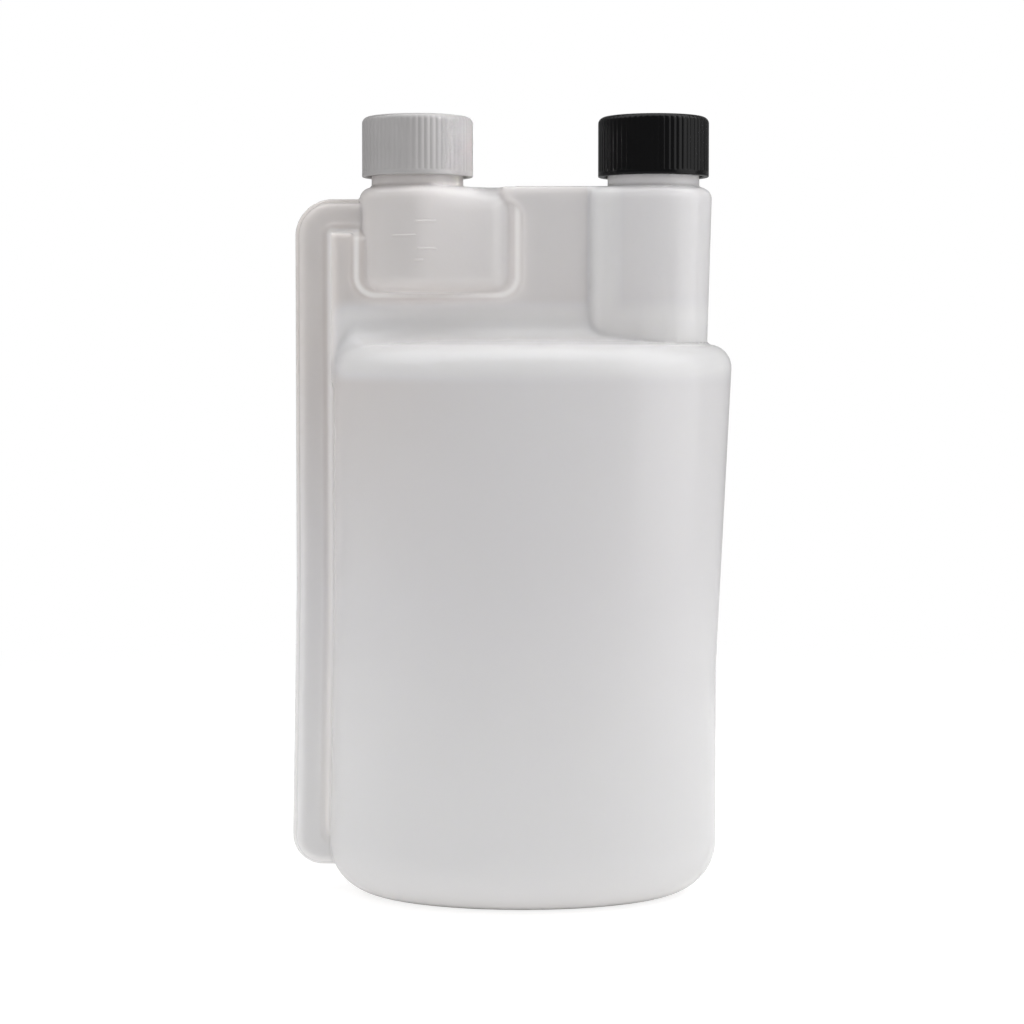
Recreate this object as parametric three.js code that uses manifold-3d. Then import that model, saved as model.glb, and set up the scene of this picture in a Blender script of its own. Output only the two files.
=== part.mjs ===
// Twin-neck dosing bottle: a blow-moulded bottle with a main chamber, a measuring chamber and a
// side tube in one piece, and two ribbed screw caps, each with its foam liner.
//
// Millimetres, +Z up. The bottle stands on its base rim at z = 0, its front faces -Y, and the two
// mould halves meet in the plane y = 0. Squeezing the main chamber drives liquid in at the foot of
// the side tube, up the tube and through the stub into the measuring chamber under the left neck.

import * as THREE from "three";
import { mergeVertices } from "three/addons/utils/BufferGeometryUtils.js";
import Module from "manifold-3d";

const wasm = await Module();
wasm.setup();

// Whole bottle
const overallWidth = 120.4; // from the side tube's foot to the right end of the shoulder
const wall = 1.2; // blown wall, everywhere
const joinDepth = 4; // how far one form runs into the next where they are joined

// Main chamber
const rightTaper = 4; // the right side draws in by this from the shoulder down
const chamberHalfDepth = 40;
const chamberPower = 2.02; // superellipse power of the plan: 2 is an ellipse, more is squarer
const taperFootHeight = 62; // the right side is upright below this
const baseEdgeRadius = 14;
const baseRimWidth = 3.5; // flat ring that the bottle stands on
const baseRecessDepth = 2.5;
const baseRecessSlope = 14; // how far in the recess takes to reach its full depth
const shoulderHeight = 150.1;
const shoulderEdgeRadius = 6.4;
const shoulderRise = 0.9; // from the shoulder's edge up to the foot of the flare
const flareRadius = 9; // concave sweep from the shoulder up into the flat upper part

// Side tube, its pinched flange and its lean
const tubeWidth = 8.4; // with its flange
const tubeTopDrop = 3; // from the top of the upper part down to the stub's top
const tubeFoot = 6.9;
const tubeCornerRadius = 10.2;
const tubeFootRadius = 8.5;
const tubeHalfDepth = 5.5;
const tubeEdgeRadius = 2.1;
const flangeWidth = 1.2;
const footSpread = 1.2; // how far the left side stands out at the foot
const leanTopHeight = 82; // the left side is upright above this
const footOpeningTop = 15.2; // the tube is open to the main chamber below this

// Pinched seams between the hollows
const webHalfThickness = 1.25;
const webEdgeRadius = 1;
const seamWidth = 1.8;
const stubSeamDrop = 11.9; // from the top of the upper part down to the seam under the stub

// Measuring chamber
const doseRadius = 15.8;
const fingerWidth = 5.6; // of the main chamber's finger between the tube and this chamber
const doseReach = 25.4; // from the neck's axis to the chamber's right end
const doseEndHalfDepth = 13;
const doseEndRadius = 5;
const doseFloorRise = 13.8; // from the shoulder up to the chamber's floor
const doseFloorRadius = 4.2;
const doseRoofDrop = 7; // the roof right of the neck slopes down by this

// Flat upper part of the main chamber and the tower under the right neck
const slabHalfDepth = 8.5;
const slabEdgeRadius = 2.4;
const upperRise = 42.6; // from the shoulder up to the top of the upper part
const fillNeckInset = 21.4; // of the neck's axis from the shoulder's right end
const towerRadiusTop = 16;
const towerRadiusFoot = 14.8;
const towerFilletRadius = 8; // from the flat front into the round tower
const towerFootFlare = 1.5;
const neckShoulderRadius = 3.2;

// Necks
const neckRadius = 12.5;
const neckBoreRadius = 10.6;
const neckEdgeRadius = 0.6;

// Caps and liners
const capHeight = 16.3;
const capRadius = 15.1;
const capWall = 1.05;
const capTopWall = 1.7;
const capTopEdgeRadius = 1.8;
const capRimHeight = 1.2; // plain ring below the ribs
const capRibCount = 60;
const capRibDepth = 0.4;
const capStandOff = 2.9; // from the neck's root up to the cap's rim
const linerThickness = 1.2;
const linerClearance = 0.3; // round the liner's edge
const seatGap = 0.2; // between the liner and what it lies against

// How finely round things are drawn
const planPoints = 52;
const roundSegments = 40;
const arcSteps = 4;

// Places that follow from the sizes above
const chamberRight = overallWidth / 2;
const chamberRightFoot = chamberRight - rightTaper;
const tubeSide = footSpread - overallWidth / 2;
const chamberLeft = tubeSide + tubeWidth + seamWidth;
const fillNeckX = chamberRight - fillNeckInset;
const doseNeckX = chamberLeft + fingerWidth + seamWidth + doseRadius;
const doseRight = doseNeckX + doseReach;
const upperTop = shoulderHeight + upperRise;
const tubeTop = upperTop - tubeTopDrop;
const stubSeamHeight = upperTop - stubSeamDrop;
const doseFloor = shoulderHeight + doseFloorRise;
const capRimZ = upperTop + capStandOff;
const capBoreRadius = capRadius - capRibDepth - capWall;
const linerFloorZ = capRimZ + capHeight - capTopWall - seatGap - linerThickness;
const neckTopZ = linerFloorZ - seatGap;
const halfSeam = seamWidth / 2;
const doseLeft = doseNeckX - doseRadius;
const leanSlope = footSpread / (leanTopHeight - footOpeningTop);

// A geometry as a manifold solid, and back
function solid(geometry) {
  const bare = geometry.clone();
  bare.deleteAttribute("normal");
  bare.deleteAttribute("uv");
  const merged = mergeVertices(bare, 1e-4);
  return new wasm.Manifold(
    new wasm.Mesh({
      numProp: 3,
      vertProperties: merged.attributes.position.array,
      triVerts: new Uint32Array(merged.index.array),
    }),
  );
}

function geometryOf(manifold) {
  const mesh = manifold.getMesh();
  const geometry = new THREE.BufferGeometry();
  geometry.setAttribute("position", new THREE.BufferAttribute(mesh.vertProperties, 3));
  geometry.setIndex(new THREE.BufferAttribute(mesh.triVerts, 1));
  geometry.computeVertexNormals();
  return geometry;
}

const join = (...solids) => solids.reduce((whole, next) => whole.add(next));

// Points of an arc, both ends included
function arc(centreX, centreY, radius, from, to, steps) {
  return Array.from({ length: steps + 1 }, (_, i) => {
    const angle = from + ((to - from) * i) / steps;
    return new THREE.Vector2(
      centreX + radius * Math.cos(angle),
      centreY + radius * Math.sin(angle),
    );
  });
}

// Skins level outlines, { z, points } from the bottom up, and closes both ends
function loft(sections) {
  const count = sections[0].points.length;
  const positions = sections.flatMap(({ z, points }) => points.flatMap((p) => [p.x, p.y, z]));
  const index = [];
  for (let level = 0; level < sections.length - 1; level++) {
    for (let i = 0; i < count; i++) {
      const a = level * count + i;
      const b = level * count + ((i + 1) % count);
      index.push(a, b, b + count, a, b + count, a + count);
    }
  }
  const last = (sections.length - 1) * count;
  for (const [a, b, c] of THREE.ShapeUtils.triangulateShape(sections[0].points, [])) {
    index.push(a, c, b);
  }
  for (const [a, b, c] of THREE.ShapeUtils.triangulateShape(sections.at(-1).points, [])) {
    index.push(last + a, last + b, last + c);
  }
  const geometry = new THREE.BufferGeometry();
  geometry.setAttribute("position", new THREE.Float32BufferAttribute(positions, 3));
  geometry.setIndex(index);
  return solid(geometry);
}

// Revolves an upright profile of [radius, z] pairs about the upright line at x
function revolve(profile, x = 0) {
  const points = profile.map(([radius, z]) => new THREE.Vector2(radius, z));
  const geometry = new THREE.LatheGeometry(points, roundSegments);
  geometry.rotateX(Math.PI / 2);
  geometry.translate(x, 0, 0);
  return solid(geometry);
}

// A pad that both mould halves press alike: an outline in the XZ plane with rounded front and back edges
function pad(shape, halfDepth, edgeRadius) {
  const geometry = new THREE.ExtrudeGeometry(shape, {
    depth: 2 * (halfDepth - edgeRadius),
    bevelThickness: edgeRadius,
    bevelSize: edgeRadius,
    bevelOffset: -edgeRadius,
    bevelSegments: 3,
    curveSegments: arcSteps,
  });
  geometry.translate(0, 0, edgeRadius - halfDepth);
  geometry.rotateX(Math.PI / 2);
  return solid(geometry);
}

// How far the left side stands out at a height
const spreadAt = (z) => leanSlope * Math.max(0, leanTopHeight - z);

// Plan of the main chamber: a superellipse between its left and right sides, drawn in by inset
function chamberOutline(left, right, halfDepth, power, inset) {
  const halfWidth = (right - left) / 2 - inset;
  const depth = halfDepth - inset;
  const soften = (value) => Math.sign(value) * Math.abs(value) ** (2 / power);
  return Array.from({ length: planPoints }, (_, i) => {
    const angle = (2 * Math.PI * i) / planPoints;
    return new THREE.Vector2(
      (left + right) / 2 + halfWidth * soften(Math.cos(angle)),
      depth * soften(Math.sin(angle)),
    );
  });
}

const rightSideAt = (z) =>
  THREE.MathUtils.mapLinear(
    THREE.MathUtils.clamp(z, taperFootHeight, shoulderHeight - shoulderEdgeRadius),
    taperFootHeight,
    shoulderHeight - shoulderEdgeRadius,
    chamberRightFoot,
    chamberRight,
  );

const chamberSection = (z, inset) => ({
  z,
  points: chamberOutline(
    chamberLeft - spreadAt(z),
    rightSideAt(z),
    chamberHalfDepth,
    chamberPower,
    inset,
  ),
});

// The main chamber up to the flat upper part; inset draws the skin in by the wall
function chamber(inset) {
  const sections = [];
  for (let i = 0; i <= arcSteps; i++) {
    const angle = (i / arcSteps) * (Math.PI / 2);
    const radius = baseEdgeRadius - inset;
    sections.push(
      chamberSection(
        inset + radius * (1 - Math.cos(angle)),
        inset + radius * (1 - Math.sin(angle)),
      ),
    );
  }
  for (const z of [taperFootHeight, leanTopHeight]) {
    sections.push(chamberSection(z, inset));
  }
  for (let i = 0; i <= arcSteps; i++) {
    const angle = (i / arcSteps) * (Math.PI / 2);
    const radius = shoulderEdgeRadius - inset;
    sections.push(
      chamberSection(
        shoulderHeight - shoulderEdgeRadius + radius * Math.sin(angle),
        inset + radius * (1 - Math.cos(angle)),
      ),
    );
  }
  const flareFoot = shoulderHeight - inset + shoulderRise;
  for (let i = 0; i <= arcSteps; i++) {
    const angle = (i / arcSteps) * (Math.PI / 2);
    const radius = flareRadius + inset;
    sections.push({
      z: flareFoot + radius * (1 - Math.cos(angle)),
      points: chamberOutline(
        chamberLeft + shoulderEdgeRadius,
        chamberRight - shoulderEdgeRadius,
        slabHalfDepth - 0.2 + flareRadius + inset - radius * Math.sin(angle),
        chamberPower + 5 * (i / arcSteps),
        inset,
      ),
    });
  }
  return loft(sections);
}

// The hollow pressed up into the base, grown by the wall where it meets the inside
function baseRecess(grow) {
  const section = (z, inset) => chamberSection(z, inset);
  const rim = baseEdgeRadius + baseRimWidth - grow;
  return loft([
    section(-1, rim),
    section(0, rim),
    section((baseRecessDepth + grow) * 0.7, rim + baseRecessSlope * 0.4),
    section(baseRecessDepth + grow, rim + baseRecessSlope),
  ]);
}

// Corner points joined by arcs: each corner is [x, z, radius]
function roundedShape(corners) {
  const shape = new THREE.Shape();
  corners.forEach(([x, z, radius], i) => {
    const corner = new THREE.Vector2(x, z);
    const [beforeX, beforeZ] = corners.at(i - 1);
    const [afterX, afterZ] = corners[(i + 1) % corners.length];
    const back = new THREE.Vector2(beforeX, beforeZ).sub(corner).normalize();
    const ahead = new THREE.Vector2(afterX, afterZ).sub(corner).normalize();
    const halfTurn = Math.acos(THREE.MathUtils.clamp(back.dot(ahead), -1, 1)) / 2;
    const reach = radius > 0 ? radius / Math.tan(halfTurn) : 0;
    const start = corner.clone().addScaledVector(back, reach);
    const end = corner.clone().addScaledVector(ahead, reach);
    if (i === 0) shape.moveTo(start.x, start.y);
    else shape.lineTo(start.x, start.y);
    if (radius > 0) {
      const centre = corner
        .clone()
        .addScaledVector(back.clone().add(ahead).normalize(), radius / Math.sin(halfTurn));
      const turn = back.x * ahead.y - back.y * ahead.x;
      shape.absarc(
        centre.x,
        centre.y,
        radius,
        Math.atan2(start.y - centre.y, start.x - centre.x),
        Math.atan2(end.y - centre.y, end.x - centre.x),
        turn > 0,
      );
    }
  });
  shape.closePath();
  return shape;
}

// The tube's hollow: stub into the measuring chamber, upright leg, and foot into the main chamber
function tubeShape(inset) {
  const outer = tubeSide + flangeWidth + inset;
  const inner = chamberLeft - seamWidth - inset;
  const top = tubeTop - flangeWidth - inset;
  const stubFloor = stubSeamHeight + halfSeam + inset;
  const foot = tubeFoot + flangeWidth + inset;
  const footRoof = footOpeningTop - inset;
  const stubEnd = doseLeft + joinDepth;
  const footEnd = chamberLeft + joinDepth;
  return roundedShape([
    [stubEnd, top, 0],
    [outer, top, tubeCornerRadius - flangeWidth - inset],
    [outer, leanTopHeight, 0],
    [outer - spreadAt(foot), foot, tubeFootRadius - flangeWidth - inset],
    [footEnd, foot, 0],
    [footEnd, footRoof, 0],
    [inner - spreadAt(footRoof), footRoof, 0],
    [inner, leanTopHeight, 0],
    [inner, stubFloor, 0],
    [stubEnd, stubFloor, 0],
  ]);
}

// The flat upper part of the main chamber: a finger beside the tube, the strip under the measuring
// chamber and the panel up to the tower
function slabShape(inset) {
  const fingerLeft = chamberLeft + inset;
  const fingerRight = doseLeft - seamWidth - inset;
  const fingerTop = stubSeamHeight - halfSeam - inset;
  const strip = doseFloor - seamWidth - inset;
  const panelLeft = doseRight + seamWidth + inset;
  const aroundDose = doseFloorRadius + seamWidth + inset;
  const foot = shoulderHeight - shoulderEdgeRadius - joinDepth + inset;
  return roundedShape([
    [fingerLeft, foot, 0],
    [fillNeckX, foot, 0],
    [fillNeckX, upperTop - inset, 0],
    [panelLeft, upperTop - inset, 0],
    [panelLeft, strip, aroundDose],
    [fingerRight, strip, aroundDose],
    [fingerRight, fingerTop, 0],
    [fingerLeft, fingerTop, 0],
  ]);
}

// The pinched sheet: the flange round the tube and the webs between the hollows
function pinchedShape() {
  return roundedShape([
    [doseNeckX, tubeTop, 0],
    [tubeSide, tubeTop, tubeCornerRadius],
    [tubeSide, leanTopHeight, 0],
    [tubeSide - spreadAt(tubeFoot), tubeFoot, tubeFootRadius],
    [chamberLeft + joinDepth, tubeFoot, 0],
    [chamberLeft + joinDepth, shoulderHeight, 0],
    [fillNeckX, shoulderHeight, 0],
    [fillNeckX, upperTop, 0],
    [doseNeckX, upperTop, 0],
  ]);
}

// Plan of the measuring chamber: the round part under its neck, tangent to a shallower end
function doseOutline(inset, endHalfDepth) {
  const radius = doseRadius - inset;
  const endDepth = endHalfDepth - inset;
  const cornerRadius = Math.min(doseEndRadius - inset, endDepth * 0.9);
  const cornerX = doseRight - inset - cornerRadius;
  const cornerY = endDepth - cornerRadius;
  const run = cornerX - doseNeckX;
  const tangent =
    Math.atan2(cornerY, run) + Math.acos((radius - cornerRadius) / Math.hypot(run, cornerY));
  return [
    ...arc(cornerX, cornerY, cornerRadius, 0, tangent, arcSteps),
    ...arc(doseNeckX, 0, radius, tangent, 2 * Math.PI - tangent, roundSegments / 2),
    ...arc(cornerX, -cornerY, cornerRadius, -tangent, -0.001, arcSteps),
  ];
}

function doseChamber(inset) {
  const sections = [];
  const radius = doseFloorRadius - inset;
  for (let i = 0; i <= 3; i++) {
    const angle = (i / 3) * (Math.PI / 2);
    sections.push({
      z: doseFloor + inset + radius * (1 - Math.cos(angle)),
      points: doseOutline(inset + radius * (1 - Math.sin(angle)), doseEndHalfDepth),
    });
  }
  const top = upperTop - inset;
  const roofFoot = upperTop - doseRoofDrop;
  const neckFoot = upperTop - neckShoulderRadius;
  for (let i = 0; i <= 6; i++) {
    const z = THREE.MathUtils.lerp(roofFoot, top, i / 6);
    const roofShare = (z - roofFoot) / (top - roofFoot);
    const end = webHalfThickness + inset + (doseEndHalfDepth - webHalfThickness - inset) *
      Math.sqrt(1 - 0.97 * roofShare ** 2);
    const shoulder = Math.max(0, z - neckFoot) / Math.max(top - neckFoot, 1e-6);
    const drawIn = (neckShoulderRadius - inset) * (1 - Math.sqrt(1 - 0.98 * shoulder ** 2));
    sections.push({ z, points: doseOutline(inset + drawIn, end + drawIn) });
  }
  return loft(sections);
}

// Plan of the tower under the right neck, with fillets that run out on the flat panel
function towerOutline(radius, inset) {
  const fillet = towerFilletRadius + inset;
  const filletY = slabHalfDepth + towerFilletRadius;
  const between = radius + towerFilletRadius;
  const filletX = fillNeckX - Math.sqrt(between ** 2 - filletY ** 2);
  const meet = Math.atan2(filletY, filletX - fillNeckX);
  const tail = filletX - 2;
  const tailY = slabHalfDepth - inset - 0.4;
  return [
    ...arc(fillNeckX, 0, radius - inset, -meet, meet, roundSegments / 2),
    ...arc(filletX, filletY, fillet, meet - Math.PI, -Math.PI / 2, 4).slice(1),
    new THREE.Vector2(tail, tailY),
    new THREE.Vector2(tail, -tailY),
    ...arc(filletX, -filletY, fillet, Math.PI / 2, Math.PI - meet, 4).slice(0, -1),
  ];
}

function tower(inset) {
  const sections = [];
  const foot = shoulderHeight + shoulderRise - inset;
  const flare = towerFootFlare + inset;
  for (let i = 0; i <= 4; i++) {
    const angle = (i / 4) * (Math.PI / 2);
    sections.push({
      z: foot + flare * (1 - Math.cos(angle)),
      points: towerOutline(towerRadiusFoot, inset - flare * (1 - Math.sin(angle))),
    });
  }
  const neckFoot = upperTop - neckShoulderRadius;
  for (let i = 0; i <= 4; i++) {
    const angle = (i / 4) * (Math.PI / 2);
    const radius = neckShoulderRadius - inset;
    sections.push({
      z: neckFoot + radius * Math.sin(angle),
      points: towerOutline(towerRadiusTop, inset + radius * (1 - Math.cos(angle))),
    });
  }
  const below = foot - flare;
  return loft([{ ...sections[0], z: below }, ...sections]);
}

// A neck: a plain spout, with its land rounded where the liner seals
const neck = (x) =>
  revolve(
    [
      [0, upperTop - neckShoulderRadius],
      [neckRadius, upperTop - neckShoulderRadius],
      [neckRadius, neckTopZ - neckEdgeRadius],
      [neckRadius - neckEdgeRadius * 0.3, neckTopZ - neckEdgeRadius * 0.3],
      [neckRadius - neckEdgeRadius, neckTopZ],
      [0, neckTopZ],
    ],
    x,
  );

const neckBore = (x) =>
  revolve(
    [
      [0, upperTop - neckShoulderRadius - 2],
      [neckBoreRadius, upperTop - neckShoulderRadius - 2],
      [neckBoreRadius, neckTopZ + 1],
      [0, neckTopZ + 1],
    ],
    x,
  );

function bottle() {
  const skin = join(
    chamber(0),
    pad(slabShape(0), slabHalfDepth, slabEdgeRadius),
    tower(0),
    doseChamber(0),
    pad(tubeShape(0), tubeHalfDepth, tubeEdgeRadius),
    pad(pinchedShape(), webHalfThickness, webEdgeRadius),
    neck(doseNeckX),
    neck(fillNeckX),
  ).subtract(baseRecess(0));
  const mainHollow = join(
    chamber(wall),
    pad(slabShape(wall), slabHalfDepth - wall, slabEdgeRadius - wall),
    tower(wall),
  ).subtract(baseRecess(wall));
  const doseHollow = join(
    doseChamber(wall),
    pad(tubeShape(wall), tubeHalfDepth - wall, tubeEdgeRadius - wall),
  );
  return skin
    .subtract(mainHollow)
    .subtract(doseHollow)
    .subtract(neckBore(doseNeckX))
    .subtract(neckBore(fillNeckX));
}

// A ribbed screw cap, its rim at z = 0 and its axis on z. The ribs are a toothed outline, held
// inside an envelope that rounds the top edge
function cap() {
  const ribs = new THREE.Shape();
  for (let i = 0; i < 2 * capRibCount; i++) {
    const angle = (i * Math.PI) / capRibCount;
    const radius = capRadius - (i % 2) * capRibDepth;
    const place = [radius * Math.cos(angle), radius * Math.sin(angle)];
    if (i === 0) ribs.moveTo(...place);
    else ribs.lineTo(...place);
  }
  ribs.closePath();
  const ribbed = new THREE.ExtrudeGeometry(ribs, {
    depth: capHeight + 1 - capRimHeight,
    bevelEnabled: false,
  });
  ribbed.translate(0, 0, capRimHeight);
  const shoulder = arc(
    capRadius - capTopEdgeRadius,
    capHeight - capTopEdgeRadius,
    capTopEdgeRadius,
    0,
    Math.PI / 2,
    3,
  );
  const envelope = revolve([
    [0, capRimHeight / 2],
    [capRadius + 0.1, capRimHeight / 2],
    ...shoulder.map((p) => [p.x + 0.1, p.y]),
    [0, capHeight],
  ]);
  const rim = revolve([
    [0, 0],
    [capRadius - 0.4, 0],
    [capRadius - 0.1, 0.3],
    [capRadius - 0.1, capRimHeight - 0.2],
    [capRadius - capRibDepth - 0.1, capRimHeight + 0.2],
    [0, capRimHeight + 0.2],
  ]);
  const hollow = revolve([
    [0, -1],
    [capBoreRadius, -1],
    [capBoreRadius, capHeight - capTopWall],
    [0, capHeight - capTopWall],
  ]);
  return solid(ribbed).intersect(envelope).add(rim).subtract(hollow);
}

// The foam wad that seals on the neck's land, its underside at z = 0
const liner = () =>
  revolve([
    [0, 0],
    [capBoreRadius - linerClearance, 0],
    [capBoreRadius - linerClearance, linerThickness],
    [0, linerThickness],
  ]);

// Natural high-density polyethylene, white and black polypropylene, white foamed polyethylene
const naturalPolyethylene = new THREE.MeshStandardMaterial({
  color: "#d9d9d6",
  roughness: 0.4,
  metalness: 0,
  transparent: true,
  opacity: 0.9,
});
const whitePolypropylene = new THREE.MeshStandardMaterial({
  color: "#c9c7c7",
  roughness: 0.35,
  metalness: 0,
});
const blackPolypropylene = new THREE.MeshStandardMaterial({
  color: "#18181a",
  roughness: 0.25,
  metalness: 0,
});
const whiteFoam = new THREE.MeshStandardMaterial({
  color: "#f0efec",
  roughness: 0.9,
  metalness: 0,
});

function piece(name, geometry, material, x = 0, z = 0) {
  const mesh = new THREE.Mesh(geometry, material);
  mesh.name = name;
  mesh.position.set(x, 0, z);
  return mesh;
}

const capShape = geometryOf(cap());
const linerShape = geometryOf(liner());

const dosingBottle = new THREE.Group();
dosingBottle.add(
  piece("bottle", geometryOf(bottle()), naturalPolyethylene),
  piece("dose_cap", capShape, whitePolypropylene, doseNeckX, capRimZ),
  piece("dose_cap_liner", linerShape, whiteFoam, doseNeckX, linerFloorZ),
  piece("fill_cap", capShape, blackPolypropylene, fillNeckX, capRimZ),
  piece("fill_cap_liner", linerShape, whiteFoam, fillNeckX, linerFloorZ),
);

export default dosingBottle;
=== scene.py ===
import math
import bpy
import numpy as np
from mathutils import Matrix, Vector


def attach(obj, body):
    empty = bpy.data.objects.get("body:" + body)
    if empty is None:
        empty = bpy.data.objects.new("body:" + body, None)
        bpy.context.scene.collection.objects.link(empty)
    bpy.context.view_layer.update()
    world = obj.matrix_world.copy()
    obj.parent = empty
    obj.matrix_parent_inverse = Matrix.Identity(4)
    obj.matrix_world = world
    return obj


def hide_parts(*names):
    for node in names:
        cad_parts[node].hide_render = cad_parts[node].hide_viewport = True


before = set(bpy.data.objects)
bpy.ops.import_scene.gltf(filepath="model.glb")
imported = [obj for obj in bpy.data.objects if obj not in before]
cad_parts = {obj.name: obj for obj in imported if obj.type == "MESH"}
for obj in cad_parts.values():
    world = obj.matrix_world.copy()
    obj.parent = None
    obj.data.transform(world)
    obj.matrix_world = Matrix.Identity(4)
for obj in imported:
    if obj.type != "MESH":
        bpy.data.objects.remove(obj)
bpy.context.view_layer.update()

mm = 0.001


# Where two forms meet, given as signed distances: a joint with a fillet, and a shared volume with a round edge
def joinRound(a, b, radius):
    corner = np.hypot(np.maximum(radius - a, 0), np.maximum(radius - b, 0))
    return np.maximum(radius, np.minimum(a, b)) - corner


def keepRound(a, b, radius):
    corner = np.hypot(np.maximum(radius + a, 0), np.maximum(radius + b, 0))
    return np.minimum(-radius, np.maximum(a, b)) + corner


def smoothStep(low, high, value):
    t = np.clip((value - low) / (high - low), 0, 1)
    return t * t * (3 - 2 * t)


# The blown bottle, in millimetres. Every form is a signed distance, so fillets, seams and wall come out exact
bottleForm = {
    "wall": 1.2,
    "chamberLeft": -48.8, "chamberRight": 60.2, "rightTaper": 4.0, "halfDepth": 40.0, "planPower": 2.02,
    "taperFoot": 62.0, "baseEdge": 14.0, "baseRim": 3.5, "baseRecess": 2.5, "baseRecessSlope": 14.0,
    "basePinchHeight": 0.35, "basePinchWidth": 0.9,
    "shoulder": 150.1, "shoulderEdge": 6.4, "frontShoulderEdge": 9.0, "shoulderRise": 0.9, "flare": 7.0,
    "footSpread": 1.2, "leanTop": 82.0, "leanFoot": 15.2,
    "tubeSide": -58.99, "flange": 1.2, "seam": 1.1, "tubeTop": 189.7, "tubeFoot": 6.9,
    "tubeCorner": 10.2, "tubeFootCorner": 8.5, "tubeHalfDepth": 5.5, "tubeEdge": 2.0, "stubSeam": 180.8,
    "webHalf": 0.8, "webEdge": 0.6, "webFillet": 0.6, "tubeLand": 4.7, "doseLand": 7.9, "landRise": 4.0,
    "doseX": -25.6, "doseRadius": 15.8, "doseRight": 1.2, "doseEndHalf": 11.0, "doseEndRadius": 7.5,
    "doseFloor": 163.9, "doseFloorRadius": 4.6, "doseRoofDrop": 7.0,
    "slabHalf": 8.5, "slabEdge": 1.5, "top": 192.7,
    "fillX": 38.8, "towerTop": 16.0, "towerFoot": 14.8, "towerReach": 19.2, "towerEndHalf": 10.8,
    "towerEndRadius": 5.0, "towerFillet": 0.8, "neckShoulder": 3.2,
    "neckRadius": 12.5, "neckBore": 10.6, "neckTop": 208.6, "neckEdge": 0.6, "neckFillet": 0.8,
    "threadPitch": 4.233, "threadHeight": 0.85, "threadWidth": 2.3, "threadTurns": 1.6, "threadStart": 199.6,
}


def spreadAt(z):
    b = bottleForm
    return b["footSpread"] / (b["leanTop"] - b["leanFoot"]) * np.maximum(0, b["leanTop"] - z)


def mainChamber(x, y, z):
    b = bottleForm
    left = b["chamberLeft"] - spreadAt(z)
    widest = b["shoulder"] - b["shoulderEdge"]
    share = np.clip((z - b["taperFoot"]) / (widest - b["taperFoot"]), 0, 1)
    right = b["chamberRight"] - b["rightTaper"] * (1 - share)
    halfWidth, half, power = (right - left) / 2, b["halfDepth"], b["planPower"]
    u, v = np.abs(x - (left + right) / 2) + 1e-6, np.abs(y) + 1e-6
    # how far inside the plan a point lies, from the nested outlines that run round it
    inset = np.minimum((1 - np.hypot(u / halfWidth, v / half)) * half, 0.9 * half)
    for _ in range(4):
        p, q = (u / (halfWidth - inset)) ** power, (v / (half - inset)) ** power
        slope = power * (p / (halfWidth - inset) + q / (half - inset))
        inset = np.clip(inset - (p + q - 1) / slope, -60, 0.95 * half)
    rise = smoothStep(b["baseEdge"] + b["baseRim"], b["baseEdge"] + b["baseRim"] + b["baseRecessSlope"], inset)
    pinch = b["basePinchHeight"] * np.exp(-((y / b["basePinchWidth"]) ** 2)) * np.clip(rise * 3, 0, 1)
    floor = b["baseRecess"] * rise - pinch - z
    # the shoulder is rounder in front than at the sides
    edge = b["shoulderEdge"] + (b["frontShoulderEdge"] - b["shoulderEdge"]) * smoothStep(5, 32, v)
    roof = z - b["shoulder"] - b["shoulderRise"] * smoothStep(edge, edge + 14, inset)
    return keepRound(keepRound(-inset, floor, b["baseEdge"]), roof, edge)


def slab(x, y, z):
    b = bottleForm
    foot = b["shoulder"] - b["shoulderEdge"] - 4
    panel = np.maximum(np.maximum(b["chamberLeft"] - x, x - b["fillX"]), np.maximum(foot - z, z - b["top"]))
    reach = b["doseRadius"] + b["seam"]
    # at the top the panel reaches over the chamber's sloping roof
    over = 4.5 * smoothStep(b["top"] - 7, b["top"] - 1, z)
    dose = keepRound(
        np.maximum(b["doseX"] - reach - x, x - b["doseRight"] - b["seam"] + over),
        b["doseFloor"] - b["seam"] - z, b["doseFloorRadius"] + b["seam"])
    stub = np.maximum(b["stubSeam"] - b["seam"] / 2 - z, x - b["doseX"])
    return keepRound(np.maximum(panel, -joinRound(dose, stub, 1.5)), np.abs(y) - b["slabHalf"], b["slabEdge"])


# Body, panel and tower together. The fillet at the panel's foot dies out where panel and body share their left side
def mainForm(x, y, z):
    b = bottleForm
    flare = 0.4 + (b["flare"] - 0.4) * smoothStep(b["chamberLeft"] - 1, b["chamberLeft"] + 8, x)
    form = joinRound(mainChamber(x, y, z), slab(x, y, z), flare)
    return joinRound(form, tower(x, y, z), b["towerFillet"])


# A plan with a round nose at the origin that narrows to a flat end, reached by straight sides. u runs to that end
def teardrop(u, v, radius, reach, endHalf, endRadius):
    run, rise = reach - endRadius, endHalf - endRadius
    tangent = np.arctan2(rise, run) + np.arccos((radius - endRadius) / np.hypot(run, rise))
    nx, ny = np.cos(tangent), np.sin(tangent)
    v = np.abs(v)
    side = np.where(u * ny - v * nx < 0, np.hypot(u, v), u * nx + v * ny) - radius
    return keepRound(side, u - reach, endRadius)


def tower(x, y, z):
    b = bottleForm
    share = np.clip((z - b["shoulder"]) / (b["top"] - b["shoulder"]), 0, 1)
    radius = b["towerFoot"] + (b["towerTop"] - b["towerFoot"]) * share
    plan = teardrop(b["fillX"] - x, y, radius, b["towerReach"], b["towerEndHalf"], b["towerEndRadius"])
    return keepRound(np.maximum(plan, b["shoulder"] - 8 - z), z - b["top"], b["neckShoulder"])


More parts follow.
